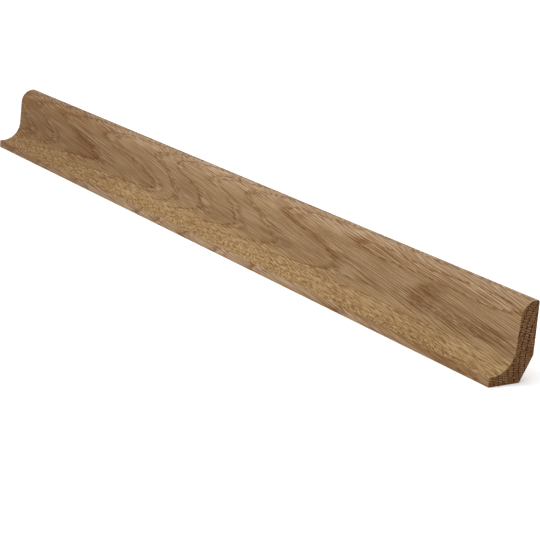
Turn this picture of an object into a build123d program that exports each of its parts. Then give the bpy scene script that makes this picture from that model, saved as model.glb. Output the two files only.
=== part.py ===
from build123d import *
import math
import os

# A length of solid oak cove moulding, used as a threshold and floor-edge strip.
# It is one machined piece of wood. A planed rectangular blank is rebated at the front, which leaves an
# upright leg and a short foot. The cutter's radius becomes the cove between them. The top of the leg is
# rounded over at the front, its back edge and the nose of the foot are eased, and the back bottom corner
# is bevelled off so that the strip seats in a corner that isn't clean.
#
# Frame, in millimetres: X along the strip, -Y out of its front, +Y into the wall behind it, +Z up.
# The origin is the middle of the box's underside.

# Driving dimensions.
LENGTH = 450.0            # sawn length
HEIGHT = 34.0             # floor to the top of the leg
DEPTH = 22.0              # back face to the nose, the planed thickness of the blank
LEG_TOP_THICKNESS = 8.7   # back face to the line of the leg's front, at the very top
LEG_TAPER_DEG = 2.3       # the leg's front leans back by this much
NOSE_HEIGHT = 4.2         # floor to the top of the foot's front edge
COVE_RADIUS = 10.8        # concave radius between leg and foot
TOP_RADIUS = 7.5          # round-over on the leg's front top edge
BACK_TOP_RADIUS = 1.2     # easing on the leg's back top edge
NOSE_ARRIS = 0.45         # easing on the two edges of the nose
BEVEL_DEPTH = 6.0         # back bevel, measured along the floor
BEVEL_HEIGHT = 11.0       # back bevel, measured up the back face
SAWN_ARRIS = 0.2          # easing left by one stroke of abrasive on the sawn ends

MIN_FLAT = 0.1            # the least straight stretch kept between two roundings

NODE = "oak_cove_strip"


def section_point(from_back, height):
    """A point of the cross-section, given its distance in front of the back face and its height."""
    return (DEPTH / 2 - from_back, height)


def leg_thickness(height):
    """Back face to the leg's front at that height, before the cove is cut."""
    return LEG_TOP_THICKNESS + (HEIGHT - height) * math.tan(math.radians(LEG_TAPER_DEG))


def run_per_radius(corner_deg):
    """How far a rounding of radius 1 reaches along each side of a corner of that angle."""
    return 1 / math.tan(math.radians(corner_deg) / 2)


def nearest(face, point):
    """The face's corner at that point of the section."""
    return min(face.vertices(), key=lambda v: math.dist((v.X, v.Y), point))


def cross_section():
    """The moulded profile, drawn flat: its first coordinate is the row's Y and its second is Z."""
    heel = section_point(0, 0)
    toe = section_point(DEPTH, 0)
    nose_top = section_point(DEPTH, NOSE_HEIGHT)
    inner_corner = section_point(leg_thickness(NOSE_HEIGHT), NOSE_HEIGHT)
    leg_front_top = section_point(LEG_TOP_THICKNESS, HEIGHT)
    leg_back_top = section_point(0, HEIGHT)

    # Each rounding is limited by the straight stretch that it has to fit in.
    foot_reach = DEPTH - leg_thickness(NOSE_HEIGHT)
    leaning_corner = run_per_radius(90 + LEG_TAPER_DEG)
    cove_radius = min(COVE_RADIUS, (foot_reach - NOSE_ARRIS - MIN_FLAT) / leaning_corner)
    top_radius = min(TOP_RADIUS, (LEG_TOP_THICKNESS - BACK_TOP_RADIUS - MIN_FLAT) / leaning_corner)

    outline = Polyline(heel, toe, nose_top, inner_corner, leg_front_top, leg_back_top, close=True)
    profile = make_face(outline)
    profile = fillet(nearest(profile, inner_corner), cove_radius)
    profile = fillet(nearest(profile, leg_front_top), top_radius)
    profile = fillet(nearest(profile, leg_back_top), BACK_TOP_RADIUS)
    profile = fillet([nearest(profile, toe), nearest(profile, nose_top)], NOSE_ARRIS)
    bevel = make_face(
        Polyline(heel, section_point(BEVEL_DEPTH, 0), section_point(0, BEVEL_HEIGHT), close=True)
    )
    return profile - bevel


def cove_strip():
    """The profile run along X, with both sawn ends very slightly eased all round."""
    across = Plane(origin=(-LENGTH / 2, 0, 0), x_dir=(0, 1, 0), z_dir=(1, 0, 0))
    blank = extrude(across * cross_section(), LENGTH)
    ends = [blank.faces().sort_by(Axis.X)[0], blank.faces().sort_by(Axis.X)[-1]]
    end_edges = [edge for face in ends for edge in face.edges()]
    strip = chamfer(end_edges, SAWN_ARRIS)
    strip.label = NODE
    return strip


def main():
    os.makedirs("parts", exist_ok=True)
    export_step(cove_strip(), os.path.join("parts", NODE + ".step"))


main()
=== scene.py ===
import math

import bmesh
import bpy
from mathutils import Matrix, Vector, noise


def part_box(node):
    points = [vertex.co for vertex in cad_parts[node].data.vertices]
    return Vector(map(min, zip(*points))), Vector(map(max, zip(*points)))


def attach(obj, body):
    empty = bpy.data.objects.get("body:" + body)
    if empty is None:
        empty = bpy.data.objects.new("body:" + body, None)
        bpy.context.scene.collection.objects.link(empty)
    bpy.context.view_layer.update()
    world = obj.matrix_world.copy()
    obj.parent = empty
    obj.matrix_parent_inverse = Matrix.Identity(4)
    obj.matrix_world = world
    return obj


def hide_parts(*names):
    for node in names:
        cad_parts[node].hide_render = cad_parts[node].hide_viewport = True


# The looks of a length of solid oak cove moulding. The CAD solid is replaced by one finer mesh of the same
# section, with rounded arrises, slight sanding relief and shallow saw marks on the ends. One solid oak
# texture is sampled on all of its faces, so rings, vessels and rays run on round every edge and out onto the
# sawn ends. Sizes are in millimetres, and turn into metres where the mesh is made.

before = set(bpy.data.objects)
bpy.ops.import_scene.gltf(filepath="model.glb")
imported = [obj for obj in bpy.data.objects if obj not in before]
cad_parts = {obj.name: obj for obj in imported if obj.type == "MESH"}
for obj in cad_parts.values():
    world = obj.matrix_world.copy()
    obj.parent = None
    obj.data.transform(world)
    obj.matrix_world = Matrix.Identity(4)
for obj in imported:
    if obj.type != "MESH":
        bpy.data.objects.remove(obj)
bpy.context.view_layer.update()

MM = 0.001
NODE = "oak_cove_strip"
PIECE = "oak_moulding"

# The section: the same sizes as the CAD solid's.
node_low, node_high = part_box(NODE)
LENGTH = (node_high.x - node_low.x) / MM
DEPTH = (node_high.y - node_low.y) / MM
HEIGHT = (node_high.z - node_low.z) / MM
LEG_TOP_THICKNESS = 8.7
LEG_TAPER_DEG = 2.3
NOSE_HEIGHT = 4.2
COVE_RADIUS = 10.8
TOP_RADIUS = 7.5
BACK_TOP_RADIUS = 1.2
NOSE_ARRIS = 0.45
BEVEL_DEPTH = 6.0
BEVEL_HEIGHT = 11.0
BEVEL_ARRIS = 0.3         # the bevel's own two edges, softened by sanding
SAWN_ARRIS = 0.2          # the edges all round both sawn ends

# The mesh.
STEP_ALONG = 1.0          # between rings of the mesh
ARC_STEP_DEG = 3.0        # how finely a rounding is drawn before it is resampled
BEND_WEIGHT = 1.1         # the extra length that a bend of one radian counts as
ARRIS_ROWS = 4            # rings across the rounding at each sawn end
END_COLUMNS = 12          # cells from the back to the front across a sawn end
# Cells along each stretch of the section, top to nose: rounded top, leg, each half of the cove, nose.
STRETCH_CELLS = (17, 12, 10, 12, 11)
SANDING_DEPTH = 0.035     # how far sanding dips below the true face
SAW_DEPTH = 0.03          # how far saw marks dip below the true end
KNOCK_DEPTH = 0.12        # how far a small knock dents an arris

# The unrolled map: the strip's two halves lie one above the other, with the sawn ends, enlarged, above them.
MAP_MARGIN = 0.006
MAP_BACK_SHARE = 0.6      # the back and underside are drawn narrower than the front
MAP_END_SCALE = 2.4       # the ends are drawn larger than the faces

# The camera, in metres.
CAMERA_AIM = Vector((0.0231, 0.0200, -0.0105))
CAMERA_AZIMUTH_DEG = -55.49
CAMERA_ELEVATION_DEG = 15.58
CAMERA_ROLL_DEG = 4.55
CAMERA_DISTANCE = 0.868
CAMERA_LENS = 117.1
CAMERA_SENSOR = 36.0

# The studio, in metres.
FLOOR_HALF_WIDTH = 12.0
FLOOR_GLOW = 0.26
WORLD_STRENGTH = 0.56
SUN_STRENGTH = 1.4
SUN_ANGLE_DEG = 60
SUN_DIRECTION = Vector((0.2, 0.15, -0.95))
KEY_SPOT = Vector((0.05, -0.2, 0.3))
KEY_AIM = Vector((0.05, 0, 0.01))
KEY_WIDTH = 0.25
KEY_POWER = 0.5


# ---- The section ----

def leg_thickness(height):
    """Back face to the leg's front at that height, before the cove is cut."""
    return LEG_TOP_THICKNESS + (HEIGHT - height) * math.tan(math.radians(LEG_TAPER_DEG))


def rounded_path(corners, radii):
    """A fine polyline through corners, with the inner ones rounded to the given radii."""
    points = [Vector(corners[0])]
    for before, corner, after, radius in zip(corners, corners[1:], corners[2:], radii):
        corner = Vector(corner)
        back = (Vector(before) - corner).normalized()
        on = (Vector(after) - corner).normalized()
        half = back.angle(on) / 2
        centre = corner + (back + on).normalized() * radius / math.sin(half)
        first = corner + back * radius / math.tan(half) - centre
        last = corner + on * radius / math.tan(half) - centre
        turn = first.angle_signed(last)
        steps = max(2, math.ceil(math.degrees(abs(turn)) / ARC_STEP_DEG))
        for i in range(steps + 1):
            # Blender's signed angle is clockwise, and its 2D rotation is the other way.
            points.append(centre + Matrix.Rotation(-turn * i / steps, 2) @ first)
    points.append(Vector(corners[-1]))
    return points


def stretches(points, cuts):
    """The polyline cut into stretches at the points nearest to cuts."""
    marks = [0]
    for cut in cuts:
        marks.append(min(range(len(points)), key=lambda i: (points[i] - Vector(cut)).length))
    marks.append(len(points) - 1)
    return [points[a:b + 1] for a, b in zip(marks, marks[1:])]


def with_points_at(points, cuts):
    """The polyline with a point added at each cut that lies on one of its straight runs."""
    for cut in cuts:
        cut = Vector(cut)
        spans = range(len(points) - 1)
        slack = [(points[i] - cut).length + (points[i + 1] - cut).length - (points[i + 1] - points[i]).length
                 for i in spans]
        best = min(spans, key=lambda i: slack[i])
        points = points[:best + 1] + [cut] + points[best + 1:]
    return points


def resampled(points, cells):
    """cells + 1 points along a polyline, closer together where it bends."""
    reach = [0.0]
    for i in range(1, len(points)):
        span = points[i] - points[i - 1]
        bend = 0.0
        if i + 1 < len(points) and span.length > 1e-9 and (points[i + 1] - points[i]).length > 1e-9:
            bend = abs(span.angle(points[i + 1] - points[i]))
        reach.append(reach[-1] + span.length + BEND_WEIGHT * bend)
    result = []
    at = 0
    for i in range(cells + 1):
        goal = reach[-1] * i / cells
        while at < len(points) - 2 and reach[at + 1] < goal:
            at += 1
        width = max(reach[at + 1] - reach[at], 1e-12)
        share = min(1.0, max(0.0, (goal - reach[at]) / width))
        result.append(points[at].lerp(points[at + 1], share))
    return result


def section_paths():
    """The section's two sides, as (distance in front of the back face, height), from top to nose.
    Both have the same number of points, so that cell i of one faces cell i of the other."""
    # How far from its corner a rounding between the leg's front and a level face starts, per unit of radius.
    reach_of = 1 / math.tan(math.radians(90 + LEG_TAPER_DEG) / 2)
    foot_thickness = leg_thickness(NOSE_HEIGHT)
    land_back = foot_thickness + COVE_RADIUS * reach_of
    lean = math.radians(LEG_TAPER_DEG)
    # The two sides part in the middle of the flat top and of the nose.
    top = Vector((((LEG_TOP_THICKNESS - TOP_RADIUS * reach_of) + BACK_TOP_RADIUS) / 2, HEIGHT))
    nose = Vector((DEPTH, NOSE_HEIGHT / 2))
    round_end_height = HEIGHT - TOP_RADIUS * reach_of * math.cos(lean)
    cove_start_height = NOSE_HEIGHT + COVE_RADIUS * reach_of * math.cos(lean)
    cove_centre = Vector((land_back, NOSE_HEIGHT + COVE_RADIUS))
    diagonal = Vector((-math.cos(math.radians(45)), -math.sin(math.radians(45))))
    cove_middle = cove_centre + COVE_RADIUS * diagonal

    front = rounded_path(
        [top, (LEG_TOP_THICKNESS, HEIGHT), (foot_thickness, NOSE_HEIGHT), (DEPTH, NOSE_HEIGHT), nose],
        [TOP_RADIUS, COVE_RADIUS, NOSE_ARRIS],
    )
    front_cuts = [
        (leg_thickness(round_end_height), round_end_height),
        (leg_thickness(cove_start_height), cove_start_height),
        cove_middle,
        (land_back, NOSE_HEIGHT),
    ]
    back = rounded_path(
        [top, (0, HEIGHT), (0, BEVEL_HEIGHT), (BEVEL_DEPTH, 0), (DEPTH, 0), nose],
        [BACK_TOP_RADIUS, BEVEL_ARRIS, BEVEL_ARRIS, NOSE_ARRIS],
    )
    back_cuts = [
        (0, round_end_height),
        (0, cove_start_height),
        (BEVEL_DEPTH / 2, BEVEL_HEIGHT / 2),
        (land_back, 0),
    ]
    back = with_points_at(back, back_cuts)
    sides = []
    for points, cuts in ((front, front_cuts), (back, back_cuts)):
        side = [points[0]]
        for stretch, cells in zip(stretches(points, cuts), STRETCH_CELLS):
            side += resampled(stretch, cells)[1:]
        sides.append(side)
    return sides


# ---- The mesh ----

def outward_normals(loop):
    """The unit normals of a closed loop of section points that runs front side first, top to nose."""
    count = len(loop)
    normals = []
    for i in range(count):
        along = (loop[(i + 1) % count] - loop[i - 1]).normalized()
        normals.append(Vector((-along.y, along.x)))
    return normals


def stations():
    """(x, how far the section is drawn in) for each ring of the mesh, from one sawn end to the other."""
    half = LENGTH / 2
    rounding = []
    for i in range(ARRIS_ROWS):
        angle = math.radians(90) * i / ARRIS_ROWS
        reach = half - SAWN_ARRIS + SAWN_ARRIS * math.cos(angle)
        rounding.append((reach, SAWN_ARRIS * (1 - math.sin(angle))))
    plain = LENGTH - 2 * SAWN_ARRIS
    cells = round(plain / STEP_ALONG)
    middle = [(-plain / 2 + plain * i / cells, 0.0) for i in range(cells + 1)]
    return [(-x, inset) for x, inset in rounding] + middle + list(reversed(rounding))


def sanding_dip(x, y, z):
    """How far the sanded face lies below the true one: long shallow waves along the grain."""
    wave = noise.noise(Vector((x / 38, y / 7, z / 7)))
    ripple = noise.noise(Vector((x / 9 + 40, y / 3, z / 3)))
    return SANDING_DEPTH * (0.5 + 0.38 * wave + 0.12 * ripple)


def knock_dip(x, y, z, sharpness):
    """A few small knocks, only where the section turns sharply."""
    where = noise.noise(Vector((x / 5 + 9, y / 4, z / 4)))
    return KNOCK_DEPTH * sharpness * max(0.0, where - 0.3) ** 1.5


def saw_dip(y, z):
    """Shallow curved marks that the saw left across an end."""
    sweep = math.hypot(y - 150, z + 60)
    return SAW_DEPTH * (0.5 + 0.3 * math.sin(sweep * 3.1) + 0.2 * noise.noise(Vector((y / 2, z / 2, 3))))


def strip_mesh():
    """The whole strip as one closed mesh, in metres, with its unrolled map."""
    front, back = section_paths()
    loop = front + list(reversed(back[1:-1]))
    normals = outward_normals(loop)
    count = len(loop)
    # How sharply the section turns at each point, up to 1.
    sharp = []
    for i in range(count):
        bend = normals[i - 1].angle(normals[(i + 1) % count])
        width = (loop[(i + 1) % count] - loop[i - 1]).length
        sharp.append(min(1.0, bend / max(width, 1e-6) * 0.4))

    mesh = bmesh.new()
    rings = []
    places = stations()
    for x, inset in places:
        ring = []
        for i, (point, normal) in enumerate(zip(loop, normals)):
            y, z = DEPTH / 2 - point.x, point.y
            dip = inset + sanding_dip(x, y, z) + knock_dip(x, y, z, sharp[i])
            spot = point - normal * dip
            ring.append(mesh.verts.new((x * MM, (DEPTH / 2 - spot.x) * MM, spot.y * MM)))
        rings.append(ring)

    layer = mesh.loops.layers.uv.new("OFBake")
    chart = strip_chart(front, loop, places)
    for r in range(len(rings) - 1):
        for i in range(count):
            j = (i + 1) % count
            face = mesh.faces.new((rings[r][i], rings[r + 1][i], rings[r + 1][j], rings[r][j]))
            for corner, (row, column) in zip(face.loops, ((r, i), (r + 1, i), (r + 1, i + 1), (r, i + 1))):
                corner[layer].uv = chart(r, row, column)
    close_end(mesh, layer, rings[0], front, -1)
    close_end(mesh, layer, rings[-1], front, 1)
    bmesh.ops.recalc_face_normals(mesh, faces=mesh.faces)
    data = bpy.data.meshes.new(PIECE)
    mesh.to_mesh(data)
    mesh.free()
    data.shade_smooth()
    return data


def map_sizes():
    """The unrolled map's sizes: half the strip's length, the height of one half and of the ends' row."""
    front, back = section_paths()
    wide = sum((b - a).length for a, b in zip(front, front[1:]))
    narrow = sum((b - a).length for a, b in zip(back, back[1:])) * MAP_BACK_SHARE
    return LENGTH / 2, wide + narrow, DEPTH * MAP_END_SCALE


MAP_WIDTH, MAP_HALF_HEIGHT, MAP_ENDS_HEIGHT = map_sizes()
MAP_GAP = MAP_MARGIN * MAP_WIDTH


def map_point(across, up):
    """Millimetres on the unrolled map to the unit square."""
    height = 2 * MAP_HALF_HEIGHT + MAP_ENDS_HEIGHT + 2 * MAP_GAP
    room = 1 - 2 * MAP_MARGIN
    return (MAP_MARGIN + room * across / MAP_WIDTH, MAP_MARGIN + room * up / height)


def strip_chart(front, loop, places):
    """A function that places the faces' corners on the map."""
    up = [0.0]
    for i in range(len(loop)):
        a, b = loop[i], loop[(i + 1) % len(loop)]
        share = 1.0 if i < len(front) - 1 else MAP_BACK_SHARE
        up.append(up[-1] + (b - a).length * share)
    along = [0.0]
    for a, b in zip(places, places[1:]):
        along.append(along[-1] + math.hypot(b[0] - a[0], b[1] - a[1]))
    middle = len(places) // 2
    scales = (MAP_WIDTH / along[middle], MAP_WIDTH / (along[-1] - along[middle]))

    def place(cell_row, row, column):
        if cell_row < middle:
            return map_point(along[row] * scales[0], up[column])
        return map_point((along[row] - along[middle]) * scales[1], up[column] + MAP_HALF_HEIGHT + MAP_GAP)

    return place


def close_end(mesh, layer, ring, front, side):
    """Closes a sawn end with rows of cells between the section's two sides."""
    last = len(front) - 1
    count = len(ring)
    x = side * LENGTH / 2 * MM
    rows = [[ring[0]]]
    for i in range(1, last):
        start, stop = ring[i], ring[count - i]
        row = [start]
        for k in range(1, END_COLUMNS):
            spot = start.co.lerp(stop.co, k / END_COLUMNS)
            dip = saw_dip(spot.y / MM, spot.z / MM) * MM
            row.append(mesh.verts.new((x - side * dip, spot.y, spot.z)))
        row.append(stop)
        rows.append(row)
    rows.append([ring[last]])
    faces = []
    for above, below in zip(rows, rows[1:]):
        if len(above) == 1:
            faces += [(above[0], below[k], below[k + 1]) for k in range(END_COLUMNS)]
        elif len(below) == 1:
            faces += [(above[k], below[0], above[k + 1]) for k in range(END_COLUMNS)]
        else:
            faces += [(above[k], below[k], below[k + 1], above[k + 1]) for k in range(END_COLUMNS)]
    left = 0.0 if side < 0 else MAP_WIDTH / 2
    floor = 2 * (MAP_HALF_HEIGHT + MAP_GAP)
    for corners in faces:
        face = mesh.faces.new(corners)
        for corner in face.loops:
            spot = corner.vert.co / MM
            corner[layer].uv = map_point(
                left + spot.z * MAP_END_SCALE, floor + (DEPTH / 2 - spot.y) * MAP_END_SCALE
            )


# ---- Materials ----

class Graph:
    """A material's nodes, with a short call for each kind that the oak is made of."""

    def __init__(self, name):
        self.material = bpy.data.materials.new(name)
        self.material.use_nodes = True
        self.tree = self.material.node_tree
        self.shader = self.tree.nodes["Principled BSDF"]

    def add(self, kind, values, output=0, **settings):
        """A node with its settings and inputs, each a number or another node's output; returns one output."""
        node = self.tree.nodes.new(kind)
        for name, value in settings.items():
            setattr(node, name, value)
        for key, value in values.items():
            self.feed(node.inputs[key], value)
        return node.outputs[output]

    def feed(self, socket, value):
        if isinstance(value, bpy.types.NodeSocket):
            self.tree.links.new(value, socket)
        else:
            socket.default_value = value

    def math(self, operation, *values):
        return self.add("ShaderNodeMath", dict(enumerate(values)), operation=operation)

    def plus(self, *values):
        total = values[0]
        for value in values[1:]:
            total = self.math("ADD", total, value)
        return total

    def times(self, *values):
        total = values[0]
        for value in values[1:]:
            total = self.math("MULTIPLY", total, value)
        return total

    def total(self, *parts):
        """The sum of parts, each a number or a row of factors to multiply."""
        return self.plus(*(self.times(*part) if isinstance(part, tuple) else part for part in parts))

    def clamped(self, value):
        return self.math("MINIMUM", self.math("MAXIMUM", value, 0.0), 1.0)

    def vector(self, x, y, z):
        return self.add("ShaderNodeCombineXYZ", {0: x, 1: y, 2: z})

    def drift(self, vector, by):
        """A vector moved by the same amount on each axis, for a second noise unlike the first."""
        return self.add("ShaderNodeVectorMath", {0: vector, 1: (by, by, by)}, operation="ADD")

    def split(self, vector):
        node = self.tree.nodes.new("ShaderNodeSeparateXYZ")
        self.tree.links.new(vector, node.inputs[0])
        return tuple(node.outputs)

    def step(self, value, low, high):
        """0 at low to 1 at high, smoothly; low may be the higher number."""
        if low > high:
            values = {0: value, 1: high, 2: low, 3: 1.0, 4: 0.0}
        else:
            values = {0: value, 1: low, 2: high, 3: 0.0, 4: 1.0}
        return self.add("ShaderNodeMapRange", values, interpolation_type="SMOOTHSTEP")

    def noise(self, vector, detail=0.0):
        return self.add("ShaderNodeTexNoise", {"Vector": vector, "Scale": 1.0, "Detail": detail})

    def centred(self, vector, size, detail=0.0):
        """Noise about zero, of roughly -size to size."""
        return self.times(self.math("SUBTRACT", self.noise(vector, detail), 0.5), 2 * size)

    def tubes(self, first, first_size, second, second_size, scatter):
        """Distance to the nearest of one long tube per cell, in cells, all running along the third direction.
        They stand in even rows at scatter 0 and anywhere at 1."""
        place = self.vector(self.times(first, 1 / first_size), self.times(second, 1 / second_size), 0.0)
        values = {"Vector": place, "Scale": 1.0, "Randomness": scatter}
        return self.add("ShaderNodeTexVoronoi", values, voronoi_dimensions="2D")

    def curve(self, value, points):
        """A smooth line through points, each within 0 to 1 both ways."""
        node = self.tree.nodes.new("ShaderNodeFloatCurve")
        line = node.mapping.curves[0]
        line.points[0].location, line.points[1].location = points[0], points[-1]
        for spot in points[1:-1]:
            line.points.new(*spot)
        node.mapping.update()
        self.feed(node.inputs["Value"], value)
        return node.outputs[0]

    def mix(self, share, first, second, blend="MIX"):
        node = self.tree.nodes.new("ShaderNodeMix")
        node.data_type = "RGBA"
        node.blend_type = blend
        for socket, value in ((node.inputs[0], share), (node.inputs[6], first), (node.inputs[7], second)):
            self.feed(socket, value)
        return node.outputs[2]


def tone(red, green, blue):
    """A colour given as it looks on a screen, 0 to 255, for a node."""
    def linear(value):
        value /= 255
        return value / 12.92 if value <= 0.04045 else ((value + 0.055) / 1.055) ** 2.4
    return (linear(red), linear(green), linear(blue), 1.0)


# Tones of the wood: planed faces, then sawn ends, then what a stain multiplies them by. One of the planed
# faces' tones is a painted sheen.
DARK_TONE = tone(114, 78, 38)
LIGHT_TONE = tone(167, 142, 108)      # the lightest on a face that looks out from the pith
RADIAL_TONE = tone(176, 149, 106)     # the lightest on a face that lies along the rays
# Painted sheen: a paler, less yellow lightest tone on the rounded top and the nose, standing in for the sky's
# sheen on them.
PAINTED_SHEEN_TONE = tone(182, 159, 130)        # the lightest on the rounded top and the nose
VESSEL_TONE = tone(98, 58, 24)
END_TONE = tone(118, 82, 47)
LATE_END_TONE = tone(96, 62, 34)
RAY_TONE = tone(184, 146, 100)
PORE_TONE = tone(48, 19, 4)
LATE_STAIN = (0.68, 0.43, 0.2, 1.0)
KNOT_STAIN = (0.6, 0.43, 0.27, 1.0)

# How the strip was cut from the log. The pith runs behind the back face, nearly along the strip.
PITH_Y = 46.0
PITH_Z = 11.0
LEG_RADIUS = 44.2         # from the pith to the leg's face at the pith's height
RING_WIDTH = 2.7
FIRST_RING = 0.3          # how much of a ring lies inside the first mark
# Where each ring comes through the leg's face: (along the strip, how many rings out from the first).
RING_MARKS = (
    (-225, 0.0), (-205, 0.7), (-171, 1.7), (-118, 2.7), (-59, 3.7), (-38, 4.7), (-8, 5.7),
    (26, 6.7), (59, 7.7), (122, 8.7), (140, 8.78), (170, 8.66), (225, 8.6),
)
RING_COUNT = 10
FIBRE_SLOPE = 0.14        # how fast the fibres fall along the strip, round the rings
RAY_RISE = 0.2            # how fast the rays climb toward the front
RAY_SPACING = 0.95
# Darker spots in the wood: (x, z, half length, half height, how far it leans along the strip,
# how strong it is all through, how strong in the late wood).
STAINS = (
    (-132, 20, 32, 14, 0, 0.12, 0.56),
    (165, 19, 13, 11, 1.0, 0.65, 0.0),
    (162, 19, 7, 6, 0.8, 0.75, 0.0),
    (196, 15, 44, 4.2, 0, 0.85, 0.0),
    (88, 26, 12, 5, 0, 0.25, 0.3),
    (-190, 20, 26, 9, 0, 0.1, 0.2),
    (100, 25, 75, 9, 0, 0.2, 0.1),
)


def grain_space(g):
    """A point of the strip in millimetres, then where it lies in the tree: how far out past the first ring
    and round the rings, and how far behind, above and away from the pith's line."""
    x, y, z = (g.times(value, 1 / MM) for value in g.split(g.add("ShaderNodeTexCoord", {}, "Object")))
    behind = g.math("SUBTRACT", PITH_Y, y)
    above = g.math("SUBTRACT", z, PITH_Z)
    radius = g.math("SQRT", g.plus(g.times(behind, behind), g.times(above, above)))

    slow = g.vector(g.times(x, 1 / 60), g.times(y, 1 / 20), g.times(z, 1 / 16))
    swell = g.centred(slow, 1.2, 1.0)
    share = g.math("DIVIDE", g.plus(x, LENGTH / 2), LENGTH)
    marks = [(at / LENGTH + 0.5, rings / RING_COUNT) for at, rings in RING_MARKS]
    dive = g.times(g.curve(share, marks), RING_COUNT * RING_WIDTH)
    out = g.plus(g.math("SUBTRACT", radius, LEG_RADIUS), dive, swell, FIRST_RING * RING_WIDTH)
    sway = g.centred(g.drift(slow, 31.0), 2.2, 1.0)
    around = g.plus(z, g.times(x, FIBRE_SLOPE), g.times(y, RAY_RISE), sway)
    return x, y, z, out, around, behind, above, radius


def facings(g, behind, above, radius):
    """How squarely the surface faces out from the pith, and along the strip, each 0 to 1."""
    side, front, up = g.split(g.add("ShaderNodeTexCoord", {}, "Normal"))
    toward = g.math("DIVIDE", g.math("SUBTRACT", g.times(up, above), g.times(front, behind)), radius)
    return g.math("ABSOLUTE", toward), g.math("ABSOLUTE", side)


def stain_shares(g, x, z):
    """How strongly the darker spots' brown shows: all through the wood, and in the late wood only."""
    even = lined = 0.0
    for at_x, at_z, half_length, half_height, lean, all_through, in_late in STAINS:
        beyond = g.plus(x, -at_x, g.times(g.plus(z, -at_z), -lean))
        away = g.plus(
            g.math("POWER", g.times(beyond, 1 / half_length), 2.0),
            g.math("POWER", g.times(g.plus(z, -at_z), 1 / half_height), 2.0),
        )
        share = g.step(away, 1.0, 0.0)
        even = g.plus(even, g.times(share, all_through))
        lined = g.plus(lined, g.times(share, in_late))
    return even, lined


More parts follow.
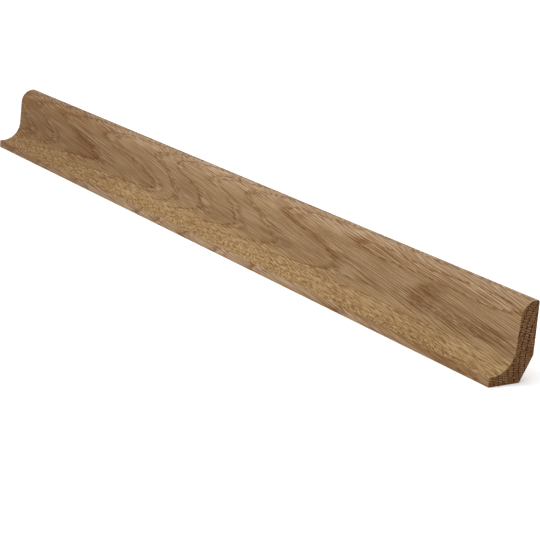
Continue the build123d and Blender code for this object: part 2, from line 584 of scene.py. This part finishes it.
def oak():
    """Planed and oiled oak with bare sawn ends: one solid texture in the tree's own directions."""
    g = Graph("oak")
    x, y, z, out, around, behind, above, radius = grain_space(g)
    tangential, sawn = facings(g, behind, above, radius)

    def along(length, outward, round_by):
        """A point in the tree scaled so that one unit is the given lengths along, out and round."""
        return g.vector(g.times(x, 1 / length), g.times(out, 1 / outward), g.times(around, 1 / round_by))

    # Rings of uneven width, with edges that run in and out along the fibres.
    jag = g.centred(along(7, 6, 0.5), 0.4, 1.0)
    ring = g.math("FRACT", g.times(g.plus(out, jag), 1 / RING_WIDTH))
    early = g.times(g.step(ring, 0.55, 0.2), g.step(ring, 0.0, 0.06))
    late = g.times(g.step(ring, 0.3, 0.9), g.step(ring, 1.0, 0.97))
    darkest = g.times(g.step(ring, 0.66, 0.96), g.step(ring, 1.0, 0.985))
    broken = g.step(g.noise(along(5, 1.4, 0.5), 1.0), 0.42, 0.58)
    front = g.times(g.step(ring, 0.86, 0.97), g.step(ring, 1.0, 0.985), g.plus(0.2, g.times(broken, 0.8)))
    pale = g.times(g.step(ring, 0.3, 0.06), g.step(ring, 0.0, 0.03), g.plus(0.35, g.times(broken, 0.65)))

    # Rays: thin sheets that run out from the pith, light where they are cut across.
    uneven = g.centred(along(60, 2.5, 1.6), 0.32)
    rows = g.plus(g.times(around, 1 / RAY_SPACING), uneven)
    edge_on = g.math("ABSOLUTE", g.math("SUBTRACT", g.times(g.math("FRACT", rows), 2.0), 1.0))
    strong = g.step(g.noise(along(24, 2.4, 2.2)), 0.25, 0.6)
    rays = g.times(g.step(edge_on, 0.42, 0.1), strong)

    # Darker spots: one kind goes all through but stops short of the back, the other is in the late wood.
    even, lined = stain_shares(g, x, z)
    even = g.times(even, g.step(y, 8.0, 3.0))

    # Vessels: long tubes, crowded in the early wood. On a sawn end they stand in rows between the rays.
    crowd = g.plus(g.times(g.step(ring, 0.36, 0.18), 0.9), 0.1)
    vessels = g.times(g.step(g.tubes(out, 0.8, around, 0.75, 0.6), 0.44, 0.26), crowd)
    dashed = g.step(g.noise(along(3.2, 0.7, 0.34)), 0.55, 0.68)
    dashes = g.times(dashed, g.total(0.18, (front, 0.82), (even, 0.6)))
    in_rows = g.tubes(out, 0.95, g.plus(rows, 0.5), 1.0, 0.42)
    pores = g.times(g.step(in_rows, 0.56, 0.36), g.plus(g.times(early, 0.5), 0.5))

    # Fibres: long lines, finer streaks, broad bands, and the fleck where rays run out through a face.
    lines = g.centred(along(26, 2.0, 0.36), 1.0)
    fine = g.centred(along(18, 1.2, 0.2), 1.0)
    broad = g.centred(along(60, 2.4, 2.0), 1.0, 1.0)
    fleck = g.centred(along(5.5, 1.5, 0.16), 1.0, 1.0)
    streaks = g.step(g.noise(along(4, 3.0, 0.3), 1.0), 0.6, 0.4)
    patches = g.centred(g.vector(g.times(x, 1 / 32), g.times(y, 1 / 9), g.times(z, 1 / 8)), 1.0, 1.0)

    # Where on the strip a tone belongs, the painted shade toward the far end among them. The fleck shows only
    # on faces that lie along the rays.
    flat = g.step(tangential, 0.65, 0.98)
    edge = g.math("SUBTRACT", 1.0, flat)
    foot = g.times(g.step(z, 6.0, 3.0), g.step(x, 60.0, 200.0))
    # The nose away from the near end: a little darker, and its lightest tone is the painted sheen tone.
    nose = g.times(g.step(z, 4.3, 3.6), g.step(x, 200.0, 60.0))
    # Painted shade: darker toward the far end, standing in for light that falls off there; a little less on
    # faces that lie along the rays.
    far_painted_shade = g.step(x, -40.0, -LENGTH / 2)
    ripple = g.times(g.math("SUBTRACT", edge_on, 0.5), strong, flat)

    # Planed faces, from dark to light, darkened toward the far end as painted shade.
    level = g.total(
        0.54, (flat, -0.05), (foot, -0.12), (lines, g.plus(0.18, g.times(flat, 0.16))), (fine, 0.6),
        (broad, 0.1), (fleck, edge, g.step(z, 34.0, 22.0), 0.6), (fleck, edge, 0.55), (patches, 0.2),
        (ripple, 0.62), (front, -0.66), (pale, g.step(z, 33.0, 24.0), 0.28), (late, -0.06),
        (far_painted_shade, -0.34), (far_painted_shade, edge, 0.14), (nose, -0.07),
    )
    light = g.mix(flat, RADIAL_TONE, LIGHT_TONE)
    # Painted sheen: the rounded top and that part of the nose get a paler lightest tone.
    light = g.mix(g.math("MAXIMUM", g.step(z, 27.0, 34.0), nose), light, PAINTED_SHEEN_TONE)
    face = g.mix(g.clamped(level), DARK_TONE, light)
    spots = g.times(even, g.plus(0.35, g.times(streaks, 0.65)))
    for share, colour in ((g.times(lined, darkest), LATE_STAIN), (spots, KNOT_STAIN)):
        stain = g.times(share, g.plus(1.0, g.times(lines, -1.2)))
        stained = g.mix(1.0, face, colour, "MULTIPLY")
        face = g.mix(g.clamped(stain), face, stained)
    face = g.mix(g.math("MAXIMUM", g.times(vessels, 0.65), g.times(dashes, 0.9)), face, VESSEL_TONE)

    # Sawn ends.
    end = g.mix(g.times(late, 0.35), END_TONE, LATE_END_TONE)
    end = g.mix(g.times(rays, 0.75), end, RAY_TONE)
    end = g.mix(pores, end, PORE_TONE)

    cut_across = g.step(sawn, 0.45, 0.85)
    g.feed(g.shader.inputs["Base Color"], g.mix(cut_across, face, end))
    roughness = g.total(0.6, (vessels, 0.2), (fine, 0.08), (cut_across, 0.2))
    g.feed(g.shader.inputs["Roughness"], roughness)
    g.feed(g.shader.inputs["Specular IOR Level"], 0.15)
    relief = g.total((fine, 0.15), (vessels, -1.0), (rays, 0.12))
    bump = g.add("ShaderNodeBump", {"Strength": 0.5, "Distance": 0.00008, "Height": relief})
    g.feed(g.shader.inputs["Normal"], bump)
    return g.material


def pale_floor():
    """A plain white studio sweep, lit from below as well so that shadows on it stay faint."""
    g = Graph("studio_white")
    g.feed(g.shader.inputs["Base Color"], (0.93, 0.93, 0.93, 1.0))
    g.feed(g.shader.inputs["Roughness"], 0.9)
    g.feed(g.shader.inputs["Specular IOR Level"], 0.1)
    g.feed(g.shader.inputs["Emission Color"], (1.0, 1.0, 1.0, 1.0))
    g.feed(g.shader.inputs["Emission Strength"], FLOOR_GLOW)
    return g.material


# ---- The scene ----

def link(name, data):
    thing = bpy.data.objects.new(name, data)
    bpy.context.scene.collection.objects.link(thing)
    return thing


def add_strip():
    strip = link(PIECE, strip_mesh())
    strip.data.materials.append(oak())
    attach(strip, "root")
    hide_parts(NODE)


def add_floor():
    size = FLOOR_HALF_WIDTH
    corners = [(-size, -size, 0), (size, -size, 0), (size, size, 0), (-size, size, 0)]
    data = bpy.data.meshes.new("studio_floor")
    data.from_pydata(corners, [], [(0, 1, 2, 3)])
    floor = link("studio_floor", data)
    floor.data.materials.append(pale_floor())


def turned_along(direction):
    """The rotation that points a light's beam along direction."""
    return direction.to_track_quat("-Z", "Y").to_euler()


def add_lights():
    world = bpy.data.worlds.new("studio")
    world.use_nodes = True
    background = world.node_tree.nodes["Background"]
    background.inputs["Color"].default_value = (1, 1, 1, 1)
    background.inputs["Strength"].default_value = WORLD_STRENGTH
    bpy.context.scene.world = world

    overhead = link("overhead", bpy.data.lights.new("overhead", "SUN"))
    overhead.data.energy = SUN_STRENGTH
    overhead.data.angle = math.radians(SUN_ANGLE_DEG)
    overhead.rotation_euler = turned_along(SUN_DIRECTION)

    key = link("key", bpy.data.lights.new("key", "AREA"))
    key.data.size = KEY_WIDTH
    key.data.energy = KEY_POWER
    key.location = KEY_SPOT
    key.rotation_euler = turned_along(KEY_AIM - KEY_SPOT)


def add_camera():
    """The camera at the strip's near end, looking along its front and slightly down."""
    angles = (CAMERA_AZIMUTH_DEG, CAMERA_ELEVATION_DEG, CAMERA_ROLL_DEG)
    azimuth, elevation, roll = (math.radians(angle) for angle in angles)
    level_look = Vector((math.sin(azimuth), math.cos(azimuth), 0))
    look = level_look * math.cos(elevation) - Vector((0, 0, math.sin(elevation)))
    level = look.cross(Vector((0, 0, 1))).normalized()
    upright = level.cross(look)
    right = level * math.cos(roll) + upright * math.sin(roll)
    up = upright * math.cos(roll) - level * math.sin(roll)
    data = bpy.data.cameras.new("camera")
    data.lens, data.sensor_width = CAMERA_LENS, CAMERA_SENSOR
    data.clip_start, data.clip_end = 0.01, 100.0
    camera = link("camera", data)
    turned = Matrix((right, up, -look)).transposed().to_4x4()
    camera.matrix_world = Matrix.Translation(CAMERA_AIM - look * CAMERA_DISTANCE) @ turned
    bpy.context.scene.camera = camera


add_strip()
add_floor()
add_lights()
add_camera()
bpy.context.scene.view_settings.view_transform = "Standard"
